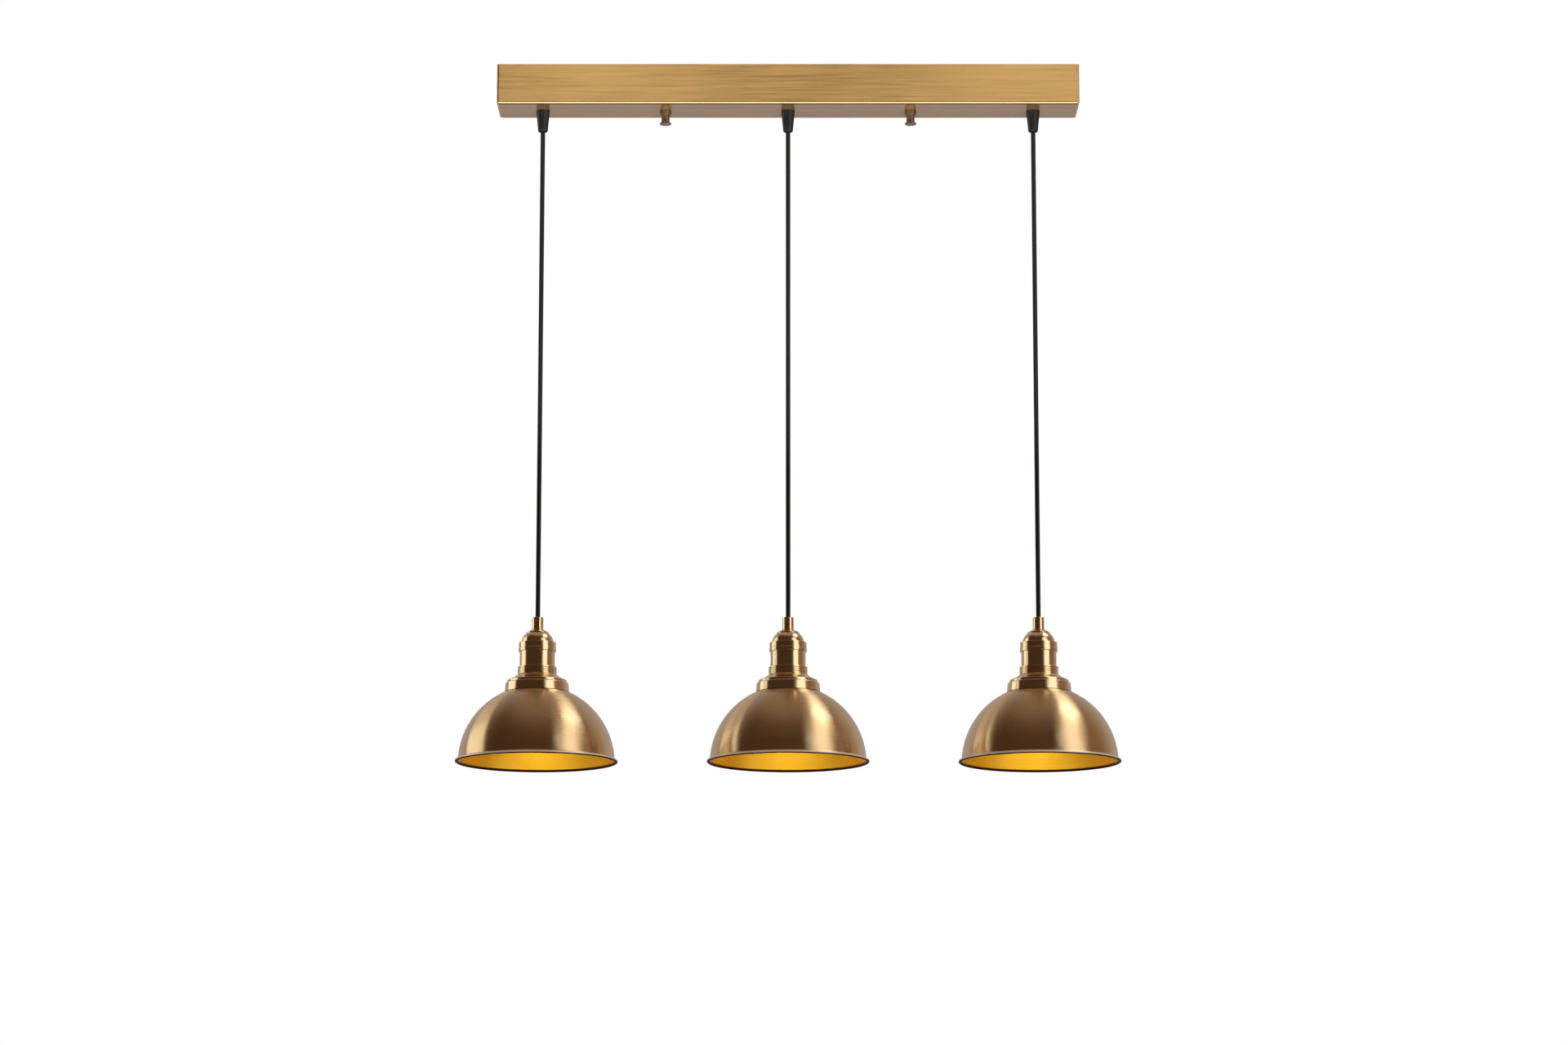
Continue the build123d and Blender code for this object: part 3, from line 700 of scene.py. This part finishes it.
# Each soft box: name, place, target, width, height, lean in degrees and watts.
SOFT_BOXES = (
    ("right_soft_box", (3.09, -2.54, 0.2), (0, 0, -0.75), 2.2, 4.0, 24, 34),
    ("upper_right_box", (2.24, 0.0, 2.57), (0, 0, -0.75), 1.8, 1.4, 0, 27),
    ("left_soft_box", (-3.93, 0.76, 0.0), (0, 0, -0.75), 2.4, 3.4, 32, 26),
    ("canopy_strip_left", (-0.38, -2.5, 1.92), (-0.25, 0, -0.03), 0.4, 0.3, 0, 6.2),
    ("canopy_strip_right", (0.55, -2.5, 1.92), (0.25, 0, -0.03), 0.6, 0.3, 0, 8),
    ("fold_panel", (0, -0.69, -0.5), (0, -0.69, 0), 2.0, 1.02, 0, 14),
)
# A disc low in front of each shade lights its inside: place and target from the mouth's middle,
# watts, width in metres and spread in degrees.
DISC_PLACE = (0, -0.25, -0.16)
DISC_TARGET = (0, 0.09, 0.02)
DISC_POWER = 0.05
DISC_SIZE = 0.07
DISC_SPREAD = 24
# Cloth that hangs round the object: turn to the right of the front in degrees, and its colour.
CURTAINS = (
    (-85, "#443126"),
    (0, "#443126"),
    (38, "#443126"),
    (62, "#84695a"),
    (100, "#84695a"),
    (135, "#aca2a2"),
    (225, "#aca2a2"),
    (255, "#7a665b"),
)
CURTAIN_RADIUS = 8
CURTAIN_CENTRE = (0, 0, -0.8)
# Cloth over the object, and the rise at which it begins and is all that shows.
CEILING_CLOTH = "#9a857c"
CEILING_FROM = 0.82
CEILING_TO = 0.93
# An upright cloth in front of the canopy keeps its strips out of the shades.
FLAG_PLACE = (0, -1.5, 0.75)
FLAG_SIZE = (2.6, 0.5, 1)
FLOOR_SIZE = 24
# Cloth on the floor, from the front to the back: metres behind the object, and its colour.
FLOOR_CLOTH = (
    (-7.0, "#43342a"),
    (-1.0, "#43342a"),
    (-0.6, "#33241a"),
    (1.5, "#33241a"),
    (5.0, "#959bc0"),
)
FLOOR_CLOTH_SIZE = 15.0
FLOOR_CLOTH_LIFT = 0.02
# The camera stands low in front and looks up.
CAMERA_PLACE = (-0.0049, -5.0, -1.473)
CAMERA_PITCH = 10.32
CAMERA_LENS = 96.96
CAMERA_SENSOR = 36


def cloth_colours(tree, share, stops):
    """Colours that run into one another along a cloth, each at its share of the way."""
    ramp = node(tree, "ShaderNodeValToRGB", {}, {"Fac": share})
    elements = ramp.color_ramp.elements
    for place, colour in stops:
        elements.new(place).color = shaded(linear(colour), 1)
    elements.remove(elements[0])
    elements.remove(elements[-1])
    return ramp.outputs["Color"]


class PENDANT_OT_stage(bpy.types.Operator):
    """Sets up the floor, curtains, lamps, background and camera"""

    bl_idname = "pendant.stage"
    bl_label = "Set up the studio"

    def execute(self, context):
        scene = context.scene
        scene.view_settings.view_transform = "Standard"
        self.make_world(scene)
        self.make_floor(scene)
        self.make_curtains(scene)
        self.make_lights(scene)
        self.make_camera(scene)
        return {"FINISHED"}

    def make_world(self, scene):
        """A white background for the eye and for reflections, and half as much light from it."""
        world = bpy.data.worlds.new("white_studio")
        scene.world = world
        world.use_nodes = True
        tree = world.node_tree
        tree.nodes.clear()
        path = node(tree, "ShaderNodeLightPath")
        shown = node(
            tree, "ShaderNodeMath",
            links={0: path.outputs["Is Camera Ray"], 1: path.outputs["Is Glossy Ray"]}, operation="MAXIMUM")
        white = node(
            tree, "ShaderNodeMath",
            links={0: shown.outputs[0], 1: path.outputs["Is Transmission Ray"]}, operation="MAXIMUM")
        soft = node(tree, "ShaderNodeBackground", {"Color": (1, 1, 1, 1), "Strength": 0.5})
        bright = node(tree, "ShaderNodeBackground", {"Color": (1, 1, 1, 1), "Strength": 1.0})
        mixed = node(
            tree, "ShaderNodeMixShader",
            links={0: white.outputs[0], 1: soft.outputs[0], 2: bright.outputs[0]})
        node(tree, "ShaderNodeOutputWorld", links={"Surface": mixed.outputs[0]})

    def make_floor(self, scene):
        """A pale matt floor that shows the shadow, and that a view from below looks through."""
        material, tree, place = new_material("pale_studio_floor")
        colour = scene.pendant_colours.floor
        patch = 400 * MM
        mottle = node(tree, "ShaderNodeTexNoise", {"Scale": 1 / patch, "Detail": 4.0}, {"Vector": place})
        contrast = 0.02
        tint = node(
            tree, "ShaderNodeMixRGB",
            {"Color1": shaded(colour, 1 - contrast), "Color2": shaded(colour, 1 + contrast)},
            {"Fac": mottle.outputs["Fac"]})
        matt = node(tree, "ShaderNodeBsdfDiffuse", {}, {"Color": tint.outputs[0]})
        path = node(tree, "ShaderNodeLightPath")
        paler = 0.4
        lift = node(
            tree, "ShaderNodeMath", {1: paler}, {0: path.outputs["Is Camera Ray"]}, operation="MULTIPLY")
        pale = node(tree, "ShaderNodeEmission", {"Color": shaded(colour, 1)}, {"Strength": lift.outputs[0]})
        top = node(tree, "ShaderNodeAddShader", links={0: matt.outputs[0], 1: pale.outputs[0]})
        below = node(tree, "ShaderNodeNewGeometry").outputs["Backfacing"]
        clear = node(tree, "ShaderNodeBsdfTransparent")
        shader = node(
            tree, "ShaderNodeMixShader", links={0: below, 1: top.outputs[0], 2: clear.outputs[0]})
        node(tree, "ShaderNodeOutputMaterial", links={"Surface": shader.outputs[0]})
        deselect()
        drop = scene.pendant_sizes.floor_drop
        bpy.ops.mesh.primitive_plane_add(size=FLOOR_SIZE, location=(0, 0, -drop))
        floor = bpy.context.active_object
        floor.name = "floor"
        floor.data.materials.append(material)

    def make_curtains(self, scene):
        """Brown and grey cloth round the object and above it, which only reflections see."""
        cloth, tree, place = new_material("studio_curtains")
        centred = tuple(-c for c in CURTAIN_CENTRE)
        way = node(tree, "ShaderNodeMapping", {"Location": centred}, {"Vector": place})
        turn = node(tree, "ShaderNodeTexGradient", {}, {"Vector": way.outputs[0]}, gradient_type="RADIAL")
        sides = cloth_colours(
            tree, turn.outputs["Fac"], [((right + 90) / 360, colour) for right, colour in CURTAINS])
        unit = node(tree, "ShaderNodeVectorMath", {}, {0: way.outputs[0]}, operation="NORMALIZE")
        rise = node(tree, "ShaderNodeSeparateXYZ", {}, {0: unit.outputs[0]})
        height = node(
            tree, "ShaderNodeMapRange", {"From Min": CEILING_FROM, "From Max": CEILING_TO},
            {"Value": rise.outputs["Z"]})
        colour = node(
            tree, "ShaderNodeMixRGB", {"Color2": shaded(linear(CEILING_CLOTH), 1)},
            {"Fac": height.outputs[0], "Color1": sides})
        shader = node(tree, "ShaderNodeEmission", {"Strength": 1.0}, {"Color": colour.outputs[0]})
        node(tree, "ShaderNodeOutputMaterial", links={"Surface": shader.outputs[0]})
        deselect()
        bpy.ops.mesh.primitive_uv_sphere_add(
            segments=64, ring_count=32, radius=CURTAIN_RADIUS, location=CURTAIN_CENTRE)
        curtains = bpy.context.active_object
        curtains.name = "curtains"
        bpy.ops.object.transform_apply(location=True, rotation=True, scale=True)
        bpy.ops.object.mode_set(mode="EDIT")
        bpy.ops.mesh.select_all(action="SELECT")
        bottom = -scene.pendant_sizes.floor_drop
        bpy.ops.mesh.bisect(plane_co=(0, 0, bottom), plane_no=(0, 0, 1), clear_inner=True)
        bpy.ops.object.mode_set(mode="OBJECT")
        bpy.ops.mesh.primitive_plane_add(size=1, location=FLAG_PLACE, rotation=(radians(90), 0, 0))
        flag = bpy.context.active_object
        flag.name = "strip_flag"
        flag.scale = FLAG_SIZE
        bpy.ops.object.transform_apply(location=True, rotation=True, scale=True)
        for piece in (curtains, flag):
            piece.data.materials.append(cloth)
        curtains.visible_diffuse = False
        curtains.visible_shadow = False
        under, tree, place = new_material("floor_cloth")
        back = node(tree, "ShaderNodeSeparateXYZ", {}, {0: place}).outputs["Y"]
        half = FLOOR_CLOTH_SIZE / 2
        way = node(tree, "ShaderNodeMapRange", {"From Min": -half, "From Max": half}, {"Value": back})
        colour = cloth_colours(
            tree, way.outputs[0], [((y + half) / FLOOR_CLOTH_SIZE, shade) for y, shade in FLOOR_CLOTH])
        shader = node(tree, "ShaderNodeEmission", {"Strength": 1.0}, {"Color": colour})
        node(tree, "ShaderNodeOutputMaterial", links={"Surface": shader.outputs[0]})
        deselect()
        drop = scene.pendant_sizes.floor_drop - FLOOR_CLOTH_LIFT
        bpy.ops.mesh.primitive_plane_add(size=FLOOR_CLOTH_SIZE, location=(0, 0, -drop))
        mat = bpy.context.active_object
        mat.name = "floor_cloth"
        bpy.ops.object.transform_apply(location=True, rotation=True, scale=True)
        mat.data.materials.append(under)
        mat.visible_diffuse = False
        mat.visible_shadow = False
        for piece in (curtains, flag, mat):
            piece.visible_camera = False

    def add_lamp(self, scene, name, place, target, lean, power):
        """An area lamp that points at a target, leaning to one side."""
        data = bpy.data.lights.new(name, "AREA")
        data.energy = power
        lamp = bpy.data.objects.new(name, data)
        lamp.location = place
        way = Vector(target) - Vector(place)
        turn = way.to_track_quat("-Z", "Y") @ Quaternion((0, 0, 1), radians(lean))
        lamp.rotation_euler = turn.to_euler()
        scene.collection.objects.link(lamp)
        lamp.visible_camera = False
        return lamp

    def make_lights(self, scene):
        """Soft boxes beside and above, strips and a panel for the canopy, and a disc for each shade."""
        for name, place, target, width, height, lean, power in SOFT_BOXES:
            data = self.add_lamp(scene, name, place, target, lean, power).data
            data.shape = "RECTANGLE"
            data.size = width
            data.size_y = height
        for lamp in LAMPS:
            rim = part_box(f"shade_{lamp}")[0].z
            mouth = Vector((lamp_axis(lamp), 0, rim))
            place = mouth + Vector(DISC_PLACE)
            far_wall = mouth + Vector(DISC_TARGET)
            disc = self.add_lamp(scene, f"inside_disc_{lamp}", place, far_wall, 0, DISC_POWER)
            disc.visible_glossy = False
            disc.data.shape = "DISK"
            disc.data.size = DISC_SIZE
            disc.data.spread = radians(DISC_SPREAD)

    def make_camera(self, scene):
        """A long lens, so that the three lamps look alike."""
        data = bpy.data.cameras.new("camera")
        data.lens = CAMERA_LENS
        data.sensor_width = CAMERA_SENSOR
        camera = bpy.data.objects.new("camera", data)
        camera.location = CAMERA_PLACE
        camera.rotation_euler = (radians(90 + CAMERA_PITCH), 0, 0)
        scene.collection.objects.link(camera)
        scene.camera = camera


class PENDANT_PT_panel(bpy.types.Panel):
    """Lists the sizes, colours and steps of the pendant"""

    bl_idname = "PENDANT_PT_panel"
    bl_label = "Three-light pendant"
    bl_space_type = "VIEW_3D"
    bl_region_type = "UI"
    bl_category = "Pendant"

    def draw(self, context):
        for group in (context.scene.pendant_sizes, context.scene.pendant_colours):
            for name in group.__annotations__:
                self.layout.prop(group, name)
        for step in STEPS:
            self.layout.operator(step.bl_idname)


STEPS = (
    PENDANT_OT_finishes,
    PENDANT_OT_cords,
    PENDANT_OT_shades,
    PENDANT_OT_sockets,
    PENDANT_OT_stage,
)
CLASSES = (PendantSizes, PendantColours, *STEPS, PENDANT_PT_panel)


def register():
    for kind in CLASSES:
        bpy.utils.register_class(kind)
    bpy.types.Scene.pendant_sizes = bpy.props.PointerProperty(type=PendantSizes)
    bpy.types.Scene.pendant_colours = bpy.props.PointerProperty(type=PendantColours)


def unregister():
    del bpy.types.Scene.pendant_colours
    del bpy.types.Scene.pendant_sizes
    for kind in reversed(CLASSES):
        bpy.utils.unregister_class(kind)


def main():
    """Runs the steps in order."""
    register()
    bpy.ops.pendant.finishes()
    bpy.ops.pendant.cords()
    bpy.ops.pendant.shades()
    bpy.ops.pendant.sockets()
    bpy.ops.pendant.stage()
    bpy.context.view_layer.update()


if __name__ == "__main__":
    main()
